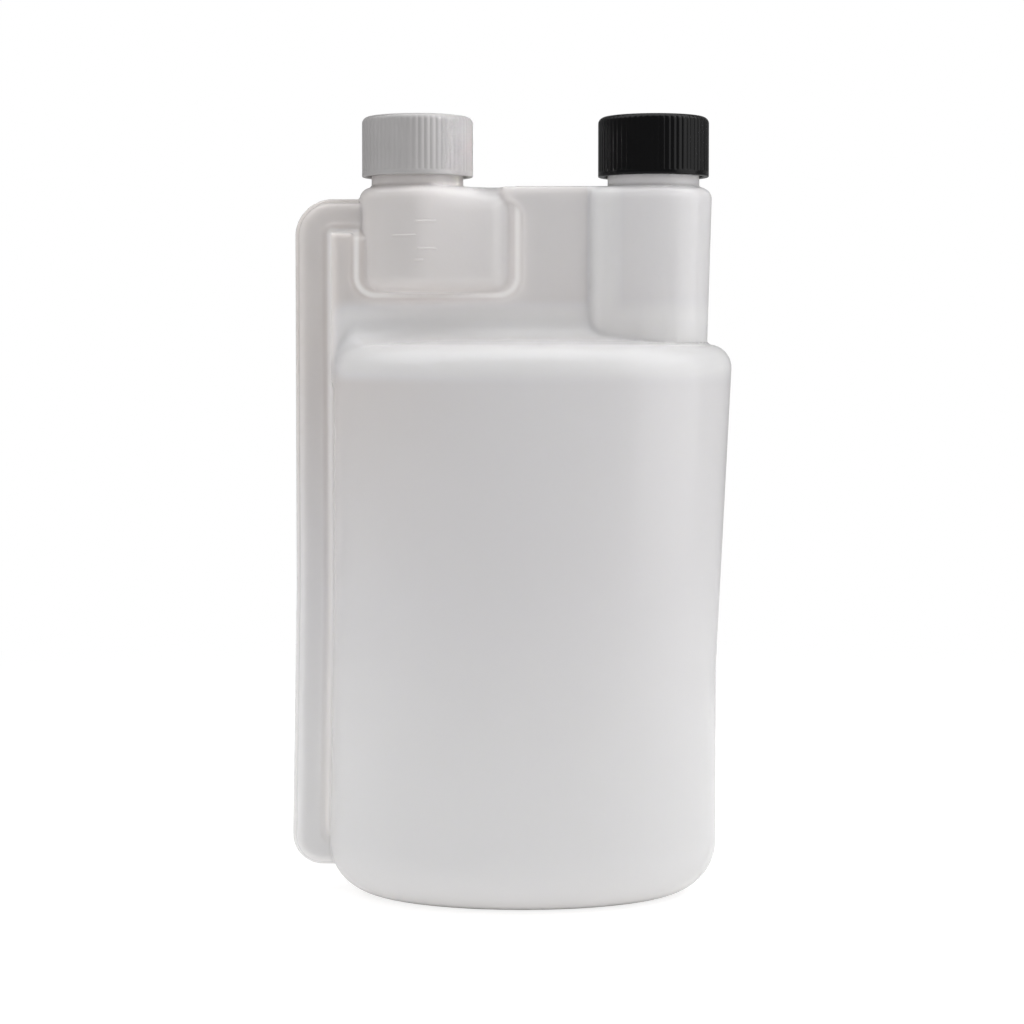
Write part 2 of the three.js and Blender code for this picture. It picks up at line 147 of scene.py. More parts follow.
def measuringChamber(x, y, z):
    b = bottleForm
    # the roof beside the neck closes towards the seam like an upturned keel
    share = np.clip((z - b["top"] + b["doseRoofDrop"]) / b["doseRoofDrop"], 0, 1)
    end = b["webHalf"] + (b["doseEndHalf"] - b["webHalf"]) * np.sqrt(1 - 0.97 * share ** 2)
    plan = teardrop(x - b["doseX"], y, b["doseRadius"], b["doseRight"] - b["doseX"],
                    end, np.minimum(b["doseEndRadius"], 0.9 * end))
    low = keepRound(plan, b["doseFloor"] - z, b["doseFloorRadius"])
    return keepRound(low, z - b["top"], b["neckShoulder"])


def tubeFrame(x, z, side, top, foot, corner, footCorner):
    spread = x + spreadAt(z)
    return keepRound(keepRound(side - spread, z - top, corner), foot - z, footCorner)


def sideTube(x, y, z):
    b = bottleForm
    flange = b["flange"]
    outer = tubeFrame(x, z, b["tubeSide"] + flange, b["tubeTop"] - flange, b["tubeFoot"] + flange,
                      b["tubeCorner"] - flange, b["tubeFootCorner"] - flange)
    innerEdge = x + spreadAt(z) - (b["chamberLeft"] - b["seam"])
    inner = joinRound(joinRound(innerEdge, b["stubSeam"] + b["seam"] / 2 - z, 1.5), z - b["leanFoot"], 1.5)
    outline = np.maximum(np.maximum(outer, inner), x - (b["doseX"] - b["doseRadius"] + 4))
    return keepRound(outline, np.abs(y) - b["tubeHalfDepth"], b["tubeEdge"])


def sheetOutline(x, z):
    b = bottleForm
    top = np.where(x < b["doseX"], b["tubeTop"], b["top"])
    return tubeFrame(x, z, b["tubeSide"], top, b["tubeFoot"], b["tubeCorner"], b["tubeFootCorner"])


# How far a point belongs to the seams: the gaps that the three hollow forms leave, away from the outer flange
def weldShare(x, y, z):
    middle = 0 * y
    gap = np.minimum(np.minimum(mainForm(x, middle, z), measuringChamber(x, middle, z)), sideTube(x, middle, z))
    return smoothStep(-0.6, 0.3, gap) * smoothStep(1.5, 8.0, -sheetOutline(x, z))


# The two walls pinched together by the mould: a thin flange outside the tube, a thicker welded land in the seams
def pinchedSheet(x, y, z):
    b = bottleForm
    outline = sheetOutline(x, z)
    inner = smoothStep(b["chamberLeft"] - 1, b["chamberLeft"] + 6, x) * smoothStep(-0.5, 2.5, b["stubSeam"] - z)
    inner = np.maximum(inner, smoothStep(b["doseX"] + 10, b["doseX"] + 18, x))
    land = b["tubeLand"] + (b["doseLand"] - b["tubeLand"]) * inner
    # beside the panel the land runs up to the top and takes the panel's round edge, so the top line has no notch
    beside = smoothStep(b["doseRight"] - 1.5, b["doseRight"] + 0.5, x)
    rise = np.maximum(beside, smoothStep(b["flange"], b["landRise"], -outline))
    half = b["webHalf"] + (land - b["webHalf"]) * rise
    edge = b["webEdge"] + (b["slabEdge"] - b["webEdge"]) * beside
    return keepRound(np.maximum(outline, x - b["fillX"]), np.abs(y) - half, edge)


def neck(x, y, z, centre):
    b = bottleForm
    turn = np.arctan2(y, x - centre) / (2 * math.pi) + 0.5
    pitch = b["threadPitch"]
    start = b["threadStart"]
    # which turn of the helix lies nearest, and how far above or below it the point is
    level = (z - start) / pitch - turn
    whole = np.clip(np.round(level), 0, math.ceil(b["threadTurns"]))
    travelled = whole + turn
    ends = smoothStep(0, 0.08, travelled) * smoothStep(0, 0.08, b["threadTurns"] - travelled)
    bump = np.exp(-(((level - whole) * pitch / (b["threadWidth"] * 0.42)) ** 4))
    radius = b["neckRadius"] + b["threadHeight"] * bump * ends
    spout = np.hypot(x - centre, y) - radius
    return keepRound(np.maximum(spout, b["top"] - 6 - z), z - b["neckTop"], b["neckEdge"])


def hollows(x, y, z):
    b = bottleForm
    main = mainForm(x, y, z) + b["wall"]
    dose = joinRound(measuringChamber(x, y, z), sideTube(x, y, z), 1.0) + b["wall"]
    hollow = np.minimum(main, dose)
    for centre in (b["doseX"], b["fillX"]):
        bore = np.hypot(x - centre, y) - b["neckBore"]
        bore = np.maximum(np.maximum(bore, b["top"] - b["neckShoulder"] - 2 - z), z - b["neckTop"] - 2)
        hollow = joinRound(hollow, bore, 1.0)
    return hollow


def skin(x, y, z):
    b = bottleForm
    # the chamber's sloping roof runs into the panel in a wide fillet
    roof = smoothStep(b["top"] - 9, b["top"] - 3, z) * smoothStep(b["doseRight"] - 9, b["doseRight"] - 2, x)
    whole = joinRound(mainForm(x, y, z), measuringChamber(x, y, z), 0.5 + 3.5 * roof)
    whole = np.maximum(whole, z - b["top"])
    whole = joinRound(whole, sideTube(x, y, z), 0.5)
    whole = joinRound(whole, pinchedSheet(x, y, z), b["webFillet"])
    for centre in (b["doseX"], b["fillX"]):
        whole = joinRound(whole, neck(x, y, z, centre), b["neckFillet"])
    return whole


# Levels along an axis, given as (end, step) stretches from a start
def levels(start, *stretches):
    values = [start]
    for end, step in stretches:
        count = max(1, round((end - values[-1]) / step))
        values += list(np.linspace(values[-1], end, count + 1)[1:])
    return np.array(values)


# A closed quad mesh of the surface where a distance is zero: one vertex in every grid cell that the surface
# crosses, moved onto the surface
def surfaceMesh(name, distance, xs, ys, zs):
    values = distance(xs[:, None, None], ys[None, :, None], zs[None, None, :])
    inside = values < 0
    nx, ny, nz = values.shape
    corners = [(i, j, k) for i in (0, 1) for j in (0, 1) for k in (0, 1)]
    part = lambda array, i, j, k: array[i:nx - 1 + i, j:ny - 1 + j, k:nz - 1 + k]
    filled = sum(part(inside, *c).astype(np.int8) for c in corners)
    mixed = (filled > 0) & (filled < 8)
    cells = np.argwhere(mixed)
    number = np.full(mixed.shape, -1, dtype=np.int64)
    number[tuple(cells.T)] = np.arange(len(cells))
    grid = lambda c: np.stack([xs[c[:, 0]], ys[c[:, 1]], zs[c[:, 2]]], axis=1)
    total, count = np.zeros((len(cells), 3)), np.zeros(len(cells))
    for c in corners:
        for axis in range(3):
            if c[axis]:
                continue
            d = tuple(int(i == axis) + c[i] for i in range(3))
            a, e = cells + c, cells + d
            va, ve = values[tuple(a.T)], values[tuple(e.T)]
            cross = (va < 0) != (ve < 0)
            t = np.where(cross, va / np.where(cross, va - ve, 1), 0)[:, None]
            total += np.where(cross[:, None], grid(a) * (1 - t) + grid(e) * t, 0)
            count += cross
    points = total / count[:, None]
    low, high = grid(cells), grid(cells + 1)
    for _ in range(3):
        step = 0.02
        here = distance(*points.T)
        slope = np.stack([
            (distance(*(points + step * np.eye(3)[i]).T) - distance(*(points - step * np.eye(3)[i]).T)) / (2 * step)
            for i in range(3)], axis=1)
        move = -here[:, None] * slope / np.maximum((slope ** 2).sum(axis=1), 0.05)[:, None]
        points = np.clip(points + move, low, high)
    quads = []
    for axis in range(3):
        one, two = (axis + 1) % 3, (axis + 2) % 3
        span = [slice(None)] * 3
        before, after = list(span), list(span)
        before[axis], after[axis] = slice(0, -1), slice(1, None)
        a, e = inside[tuple(before)], inside[tuple(after)]
        edges = np.argwhere(a != e)
        keep = (edges[:, one] > 0) & (edges[:, two] > 0)
        keep &= (edges[:, one] < mixed.shape[one]) & (edges[:, two] < mixed.shape[two])
        edges = edges[keep]
        outward = a[tuple(edges.T)]
        ring = []
        for back, side in ((1, 1), (0, 1), (0, 0), (1, 0)):
            cell = edges.copy()
            cell[:, one] -= back
            cell[:, two] -= side
            ring.append(number[tuple(cell.T)])
        ring = np.stack(ring, axis=1)
        ring[~outward] = ring[~outward][:, ::-1]
        quads.append(ring)
    quads = np.concatenate(quads)
    mesh = bpy.data.meshes.new(name)
    mesh.vertices.add(len(points))
    mesh.vertices.foreach_set("co", (points * mm).astype(np.float32).ravel())
    mesh.loops.add(quads.size)
    mesh.loops.foreach_set("vertex_index", quads.astype(np.int32).ravel())
    mesh.polygons.add(len(quads))
    mesh.polygons.foreach_set("loop_start", np.arange(0, quads.size, 4, dtype=np.int32))
    mesh.polygons.foreach_set("use_smooth", np.ones(len(quads), dtype=bool))
    mesh.update(calc_edges=True)
    mesh.validate()
    return mesh


def addObject(name, mesh):
    thing = bpy.data.objects.new(name, mesh)
    bpy.context.scene.collection.objects.link(thing)
    return thing


def makeBottle(material):
    b = bottleForm
    xs = levels(-61.5, (-52.5, 0.8), (-47.5, 0.4), (-44, 0.8), (-40, 0.4), (-5, 1.2), (4, 0.45), (16, 1.4),
                (28, 0.8), (56, 1.1), (61.5, 0.9))
    ys = levels(-41.4, (-18, 1.8), (-10, 0.9), (-4, 0.7), (4, 0.6), (10, 0.7), (18, 0.9), (41.4, 1.8))
    zs = levels(-0.7, (2, 0.7), (16, 1.4), (140, 4.0), (161, 1.0), (166, 0.42), (178, 1.4), (184, 0.5), (195, 0.65), (209.2, 0.5))
    body = addObject("bottle_body", surfaceMesh("bottle_body", skin, xs, ys, zs))
    xs = levels(-60, (-46, 1.1), (-40, 1.5), (61, 2.2))
    ys = levels(-40.2, (-6, 2.2), (6, 1.2), (40.2, 2.2))
    zs = levels(0.3, (16, 1.8), (140, 6), (212, 1.6))
    hollow = addObject("hollow", surfaceMesh("hollow", hollows, xs, ys, zs))
    points = np.empty(len(body.data.vertices) * 3)
    body.data.vertices.foreach_get("co", points)
    weld = body.data.attributes.new("weld", "FLOAT", "POINT")
    weld.data.foreach_set("value", weldShare(*(points.reshape(-1, 3) / mm).T))
    marks = makeMarks(body, material)
    for other, operation in ((marks, "UNION"), (hollow, "DIFFERENCE")):
        step = body.modifiers.new(operation, "BOOLEAN")
        step.operation, step.object, step.solver = operation, other, "MANIFOLD"
    body.data = plainMesh(body)
    body.data.set_sharp_from_angle(angle=math.radians(40))
    body.data.materials.clear()
    body.data.materials.append(material)
    bpy.data.objects.remove(hollow)
    bpy.data.objects.remove(marks)
    return body


# The mesh that an object's modifiers give, with the modifiers taken off the object
def plainMesh(thing):
    mesh = bpy.data.meshes.new_from_object(thing.evaluated_get(bpy.context.evaluated_depsgraph_get()))
    thing.modifiers.clear()
    return mesh


# One node with its settings, and its inputs given as values or as the sockets that feed them
def addNode(tree, kind, inputs=None, **settings):
    node = tree.nodes.new(kind)
    for name, value in settings.items():
        setattr(node, name, value)
    for key, value in (inputs or {}).items():
        if isinstance(value, bpy.types.NodeSocket):
            tree.links.new(value, node.inputs[key])
        else:
            node.inputs[key].default_value = value
    return node


# A Geometry Nodes tree with named inputs, given as (name, socket kind)
def newGeometryTree(name, inputs):
    tree = bpy.data.node_groups.new(name, "GeometryNodeTree")
    tree.interface.new_socket("Geometry", in_out="OUTPUT", socket_type="NodeSocketGeometry")
    tree.interface.new_socket("Geometry", in_out="INPUT", socket_type="NodeSocketGeometry")
    for label, kind in inputs:
        tree.interface.new_socket(label, in_out="INPUT", socket_type="NodeSocket" + kind)
    return tree


# Runs a tree on an object and keeps the result as a plain mesh
def shapeWith(thing, tree, values):
    modifier = thing.modifiers.new(tree.name, "NODES")
    modifier.node_group = tree
    for item in tree.interface.items_tree:
        if item.in_out == "INPUT" and item.name in values:
            modifier[item.identifier] = values[item.name]
    thing.data = plainMesh(thing)


# Raised graduation marks on the front of the measuring chamber: bars that are laid on the bottle's own surface
markForm = {"lines": ((-22.9, 5.4, 183.1), (-28.7, 6.2, 179.3), (-22.7, 5.0, 175.8), (-24.6, 2.2, 172.7)),
            "lineWidth": 0.56, "lineHeight": 0.2}


def graduationTree():
    tree = newGeometryTree("graduation marks", [
        ("Bottle", "Object"), ("Line width", "Float"), ("Line height", "Float"), ("Material", "Material")])
    given = addNode(tree, "NodeGroupInput").outputs
    bar = addNode(tree, "GeometryNodeCurvePrimitiveLine", {"Start": (-0.5, 0, 0), "End": (0.5, 0, 0)})
    bar = addNode(tree, "GeometryNodeResampleCurve", {"Curve": bar.outputs[0], "Count": 20})
    half = addNode(tree, "ShaderNodeMath", {0: given["Line width"], 1: 0.5}, operation="MULTIPLY")
    section = addNode(tree, "GeometryNodeCurvePrimitiveCircle", {"Resolution": 10, "Radius": half.outputs[0]})
    bar = addNode(tree, "GeometryNodeCurveToMesh", {"Curve": bar.outputs[0], "Profile Curve": section.outputs[0],
                                                    "Fill Caps": True})
    span = addNode(tree, "GeometryNodeInputNamedAttribute", {"Name": "span"}, data_type="FLOAT")
    size = addNode(tree, "ShaderNodeCombineXYZ", {"X": span.outputs[0], "Y": 1.0, "Z": 1.0})
    bars = addNode(tree, "GeometryNodeInstanceOnPoints", {"Points": given["Geometry"], "Instance": bar.outputs[0],
                                                          "Scale": size.outputs[0]})
    bars = addNode(tree, "GeometryNodeRealizeInstances", {0: bars.outputs[0]})
    bars = addNode(tree, "GeometryNodeSetMaterial", {"Geometry": bars.outputs[0], "Material": given["Material"]})
    place = addNode(tree, "ShaderNodeSeparateXYZ", {0: addNode(tree, "GeometryNodeInputPosition").outputs[0]})
    front = addNode(tree, "ShaderNodeCombineXYZ", {"X": place.outputs[0], "Y": -0.1, "Z": place.outputs[2]})
    bottle = addNode(tree, "GeometryNodeObjectInfo", {"Object": given["Bottle"]})
    hit = addNode(tree, "GeometryNodeRaycast", {
        "Target Geometry": bottle.outputs["Geometry"], "Source Position": front.outputs[0],
        "Ray Direction": (0, 1, 0), "Ray Length": 0.2})
    surface = addNode(tree, "ShaderNodeSeparateXYZ", {0: hit.outputs["Hit Position"]})
    share = addNode(tree, "ShaderNodeMath", {0: place.outputs[1], 1: half.outputs[0]}, operation="DIVIDE")
    depth = addNode(tree, "ShaderNodeMath", {0: share.outputs[0], 1: given["Line height"], 2: surface.outputs[1]},
                    operation="MULTIPLY_ADD")
    laid = addNode(tree, "ShaderNodeCombineXYZ", {"X": place.outputs[0], "Y": depth.outputs[0], "Z": place.outputs[2]})
    bars = addNode(tree, "GeometryNodeSetPosition", {"Geometry": bars.outputs[0], "Position": laid.outputs[0]})
    addNode(tree, "NodeGroupOutput", {"Geometry": bars.outputs[0]})
    return tree


def makeMarks(bottle, material):
    mesh = bpy.data.meshes.new("graduation_marks")
    lines = markForm["lines"]
    mesh.from_pydata([(x * mm, 0, z * mm) for x, span, z in lines], [], [])
    span = mesh.attributes.new("span", "FLOAT", "POINT")
    span.data.foreach_set("value", [line[1] * mm for line in lines])
    marks = addObject("graduation_marks", mesh)
    shapeWith(marks, graduationTree(), {
        "Bottle": bottle, "Line width": markForm["lineWidth"] * mm, "Line height": markForm["lineHeight"] * mm,
        "Material": material})
    return marks


# The two screw caps, in millimetres above the rim: one ribbed shell, turned on a lathe and then shaped by a tree
capForm = {
    "rimHeight": 195.6, "height": 16.3, "radius": 15.1, "bore": 13.65, "topWall": 1.7, "topEdge": 1.8, "lip": 1.2,
    "ribCount": 60, "ribDepth": 0.16, "segments": 480, "ringRecess": 0.25,
    "threadHeight": 0.72, "threadWidth": 2.1, "threadTurns": 1.7,
}


# A closed turned shell from a profile of (radius, height, rib share, thread share), poles on the axis
def turnedMesh(name, profile, segments):
    rings = [p for p in profile if p[0] > 0]
    angle = np.arange(segments) * 2 * math.pi / segments
    data = np.array(rings)
    points = np.stack([
        data[:, 0:1] * np.cos(angle), data[:, 0:1] * np.sin(angle), np.repeat(data[:, 1:2], segments, axis=1)], axis=2)
    points = points.reshape(-1, 3).tolist() + [[0, 0, profile[0][1]], [0, 0, profile[-1][1]]]
    first, last = len(points) - 2, len(points) - 1
    faces = []
    for i in range(segments):
        j = (i + 1) % segments
        faces.append((first, j, i))
        for k in range(len(rings) - 1):
            a, b = k * segments, (k + 1) * segments
            faces.append((a + i, a + j, b + j, b + i))
        end = (len(rings) - 1) * segments
        faces.append((last, end + i, end + j))
    mesh = bpy.data.meshes.new(name)
    mesh.from_pydata([[c * mm for c in p] for p in points], [], faces)
    mesh.polygons.foreach_set("use_smooth", np.ones(len(faces), dtype=bool))
    for column, label in ((2, "ribShare"), (3, "threadShare")):
        if data.shape[1] > column:
            share = mesh.attributes.new(label, "FLOAT", "POINT")
            share.data.foreach_set("value", np.append(np.repeat(data[:, column], segments), [0.0, 0.0]))
    mesh.update()
    return mesh


def capProfile():
    c = capForm
    inside = c["height"] - c["topWall"]
    profile = [(0, inside, 0, 0), (4, inside, 0, 0), (9, inside, 0, 0), (13.2, inside, 0, 0)]
    profile += [(c["bore"] - 0.06, inside - 0.06, 0, 0), (c["bore"], inside - 0.3, 0, 0)]
    profile += [(c["bore"], z, 0, 1) for z in np.linspace(inside - 0.8, 1.2, 34)]
    profile += [(c["bore"], 0.5, 0, 0), (c["bore"] + 0.1, 0.15, 0, 0), (c["bore"] + 0.3, 0, 0, 0)]
    edge = c["radius"]
    profile += [(edge - 0.3, 0, 0, 0), (edge - 0.09, 0.09, 0, 0), (edge, 0.3, 0, 0), (edge, c["lip"] - 0.25, 0, 0)]
    profile += [(edge, c["lip"], 0.06, 0), (edge, c["lip"] + 0.12, 0.5, 0), (edge, c["lip"] + 0.24, 0.94, 0)]
    top = c["height"] - c["topEdge"]
    profile += [(edge, z, 1, 0) for z in np.linspace(c["lip"] + 0.4, top, 12)]
    for step in range(1, 13):
        turn = math.radians(90 * step / 12)
        share = 1 - float(smoothStep(0.15, 0.8, step / 12))
        profile.append((edge - c["topEdge"] * (1 - math.cos(turn)), top + c["topEdge"] * math.sin(turn), share, 0))
    level, low = c["height"], c["height"] - c["ringRecess"]
    profile += [(12.9, level, 0, 0), (12.75, level - 0.04, 0, 0), (12.55, low + 0.04, 0, 0), (12.4, low, 0, 0)]
    profile += [(r, low, 0, 0) for r in (11.5, 8, 4, 1.5)]
    # the gate's small round scar
    profile += [(1.3, low - 0.03, 0, 0), (1.1, low - 0.12, 0, 0), (0.6, low - 0.14, 0, 0), (0.4, low - 0.06, 0, 0)]
    return profile + [(0, low - 0.04, 0, 0)]


def capTree():
    tree = newGeometryTree("ribbed screw cap", [
        ("Rib count", "Int"), ("Rib depth", "Float"), ("Thread pitch", "Float"), ("Thread height", "Float"),
        ("Thread width", "Float"), ("Thread start", "Float"), ("Thread turns", "Float"),
        ("Place", "Vector"), ("Material", "Material")])
    given = addNode(tree, "NodeGroupInput").outputs
    place = addNode(tree, "ShaderNodeSeparateXYZ", {0: addNode(tree, "GeometryNodeInputPosition").outputs[0]}).outputs
    angle = addNode(tree, "ShaderNodeMath", {0: place[1], 1: place[0]}, operation="ARCTAN2").outputs[0]
    # ribs: rounded crests at the full radius, with a narrow valley between each two
    swing = addNode(tree, "ShaderNodeMath", {0: angle, 1: given["Rib count"]}, operation="MULTIPLY").outputs[0]
    swing = addNode(tree, "ShaderNodeMath", {0: swing, 1: 0.5}, operation="MULTIPLY").outputs[0]
    crest = addNode(tree, "ShaderNodeMath", {0: swing}, operation="COSINE").outputs[0]
    crest = addNode(tree, "ShaderNodeMath", {0: crest}, operation="ABSOLUTE").outputs[0]
    valley = addNode(tree, "ShaderNodeMath", {0: 1.0, 1: crest}, operation="SUBTRACT").outputs[0]
    valley = addNode(tree, "ShaderNodeMath", {0: valley, 1: given["Rib depth"]}, operation="MULTIPLY").outputs[0]
    ribShare = addNode(tree, "GeometryNodeInputNamedAttribute", {"Name": "ribShare"}, data_type="FLOAT").outputs[0]
    valley = addNode(tree, "ShaderNodeMath", {0: valley, 1: ribShare}, operation="MULTIPLY").outputs[0]
    # thread: one ridge that climbs a pitch in each turn, and sinks into the wall at both ends
    turn = addNode(tree, "ShaderNodeMath", {0: angle, 1: 0.5 / math.pi, 2: 0.5}, operation="MULTIPLY_ADD").outputs[0]
    climb = addNode(tree, "ShaderNodeMath", {0: place[2], 1: given["Thread start"]}, operation="SUBTRACT").outputs[0]
    climb = addNode(tree, "ShaderNodeMath", {0: climb, 1: given["Thread pitch"]}, operation="DIVIDE").outputs[0]
    level = addNode(tree, "ShaderNodeMath", {0: climb, 1: turn}, operation="SUBTRACT").outputs[0]
    whole = addNode(tree, "ShaderNodeMath", {0: level}, operation="ROUND").outputs[0]
    whole = addNode(tree, "ShaderNodeMath", {0: whole, 1: 0.0}, operation="MAXIMUM").outputs[0]
    aside = addNode(tree, "ShaderNodeMath", {0: level, 1: whole}, operation="SUBTRACT").outputs[0]
    aside = addNode(tree, "ShaderNodeMath", {0: aside, 1: given["Thread pitch"]}, operation="MULTIPLY").outputs[0]
    flank = addNode(tree, "ShaderNodeMath", {0: given["Thread width"], 1: 0.42}, operation="MULTIPLY").outputs[0]
    aside = addNode(tree, "ShaderNodeMath", {0: aside, 1: flank}, operation="DIVIDE").outputs[0]
    aside = addNode(tree, "ShaderNodeMath", {0: aside, 1: aside}, operation="MULTIPLY").outputs[0]
    aside = addNode(tree, "ShaderNodeMath", {0: aside, 1: aside}, operation="MULTIPLY").outputs[0]
    aside = addNode(tree, "ShaderNodeMath", {0: aside, 1: -1.0}, operation="MULTIPLY").outputs[0]
    ridge = addNode(tree, "ShaderNodeMath", {0: aside}, operation="EXPONENT").outputs[0]
    travelled = addNode(tree, "ShaderNodeMath", {0: whole, 1: turn}, operation="ADD").outputs[0]
    left = addNode(tree, "ShaderNodeMath", {0: given["Thread turns"], 1: travelled}, operation="SUBTRACT").outputs[0]
    for along in (travelled, left):
        fade = addNode(tree, "ShaderNodeMapRange", {"Value": along, "From Min": 0.0, "From Max": 0.08},
                       interpolation_type="SMOOTHSTEP").outputs[0]
        ridge = addNode(tree, "ShaderNodeMath", {0: ridge, 1: fade}, operation="MULTIPLY").outputs[0]
    threadShare = addNode(tree, "GeometryNodeInputNamedAttribute", {"Name": "threadShare"}, data_type="FLOAT").outputs[0]
    ridge = addNode(tree, "ShaderNodeMath", {0: ridge, 1: threadShare}, operation="MULTIPLY").outputs[0]
    ridge = addNode(tree, "ShaderNodeMath", {0: ridge, 1: given["Thread height"]}, operation="MULTIPLY").outputs[0]
    inward = addNode(tree, "ShaderNodeMath", {0: valley, 1: ridge}, operation="ADD").outputs[0]
    inward = addNode(tree, "ShaderNodeMath", {0: inward, 1: -1.0}, operation="MULTIPLY").outputs[0]
    outward = addNode(tree, "ShaderNodeCombineXYZ", {"X": place[0], "Y": place[1]}).outputs[0]
    outward = addNode(tree, "ShaderNodeVectorMath", {0: outward}, operation="NORMALIZE").outputs[0]
    offset = addNode(tree, "ShaderNodeVectorMath", {0: outward, "Scale": inward}, operation="SCALE").outputs[0]
    shell = addNode(tree, "GeometryNodeSetPosition", {"Geometry": given["Geometry"], "Offset": offset})
    shell = addNode(tree, "GeometryNodeTransform", {"Geometry": shell.outputs[0], "Translation": given["Place"]})
    shell = addNode(tree, "GeometryNodeRealizeInstances", {0: shell.outputs[0]})
    shell = addNode(tree, "GeometryNodeSetMaterial", {"Geometry": shell.outputs[0], "Material": given["Material"]})
    addNode(tree, "NodeGroupOutput", {"Geometry": shell.outputs[0]})
    return tree


def makeCap(name, centre, tree, material):
    c, b = capForm, bottleForm
    cap = addObject(name, turnedMesh(name, capProfile(), c["segments"]))
    # the cap's ridge lies half a pitch above the neck's, so the two run past each other
    shapeWith(cap, tree, {
        "Rib count": c["ribCount"], "Rib depth": c["ribDepth"] * mm, "Thread pitch": b["threadPitch"] * mm,
        "Thread height": c["threadHeight"] * mm, "Thread width": c["threadWidth"] * mm,
        "Thread start": (b["threadStart"] + b["threadPitch"] / 2 - c["rimHeight"]) * mm,
        "Thread turns": c["threadTurns"], "Place": (centre * mm, 0, c["rimHeight"] * mm), "Material": material})
    return cap


# Foam liners, in millimetres: discs with the mark that the neck's rim pressed into them
linerForm = {"floor": 208.8, "thickness": 1.2, "radius": 13.35, "edge": 0.25, "printInner": 10.5, "printOuter": 12.6,
             "printDepth": 0.12}


def makeLiner(name, centre, material):
    f = linerForm
    low, high, edge = f["floor"], f["floor"] + f["thickness"], f["edge"]
    deep = low + f["printDepth"]
    profile = [(0, low), (5, low), (f["printInner"] - 0.3, low), (f["printInner"], deep), (f["printOuter"], deep),
               (f["printOuter"] + 0.25, low), (f["radius"] - edge, low)]
    for step in range(1, 6):
        turn = math.radians(18 * step)
        profile.append((f["radius"] - edge * (1 - math.sin(turn)), low + edge * (1 - math.cos(turn))))
    profile += [(r, 2 * (low + high) / 2 - z) for r, z in reversed(profile[6:])]
    profile += [(9, high), (4, high), (0, high)]
    liner = addObject(name, turnedMesh(name, profile, 128))
    for vertex in liner.data.vertices:
        vertex.co.x += centre * mm
    liner.data.materials.append(material)
    return liner


# Written colours are sRGB, and the shaders work in linear light
def linear(written):
    parts = [int(written[i:i + 2], 16) / 255 for i in (1, 3, 5)]
    return [p / 12.92 if p <= 0.04045 else ((p + 0.055) / 1.055) ** 2.4 for p in parts] + [1.0]


def newMaterial(name):
    material = bpy.data.materials.new(name)
    material.use_nodes = True
    material.node_tree.nodes.clear()
    return material, material.node_tree


# HDPE without pigment, extrusion blow-moulded: milky and waxy, light passes through the wall and comes out soft.
# The skin is satin with a slow waviness from the blowing, a fine grain from the blasted mould, and a parting line
bottleFinish = {
    # the lighter and darker tones beside milk are painted light and painted shade, placed by the heights and sides
    "milk": "#e7e4e4", "paintedLightMilk": "#f5f2ef", "paintedShadeMilk": "#d6d0cd", "seam": "#efedec", "toneSize": 60.0, "toneShare": 0.06,
    "paintedFootLightHeights": (18.0, 95.0), "paintedShadeHeights": (70.0, 165.0), "paintedShadeSides": (10.0, -52.0),
    "upperHeights": (151.0, 158.0), "paintedPanelShadowEnd": 20.4, "paintedPanelShadow": 0.3, "paintedCornerLightSides": (21.4, 26.5, 30.0),
    "paintedCornerLight": 1.0, "paintedBandLightHeight": 151.0, "paintedBandLightHalf": (6.0, 12.0), "paintedBandLightSides": (-50.0, -44.0), "paintedBandLight": 1.0,
    "waveSize": 17.0, "waveDepth": 0.12,
    "grainSize": 0.8, "grainDepth": 0.012, "partingWidth": 0.35, "partingDepth": 0.1,
    "roughLow": 0.19, "roughHigh": 0.265, "scatterLength": 4.5, "seamScatter": 1.2,
}


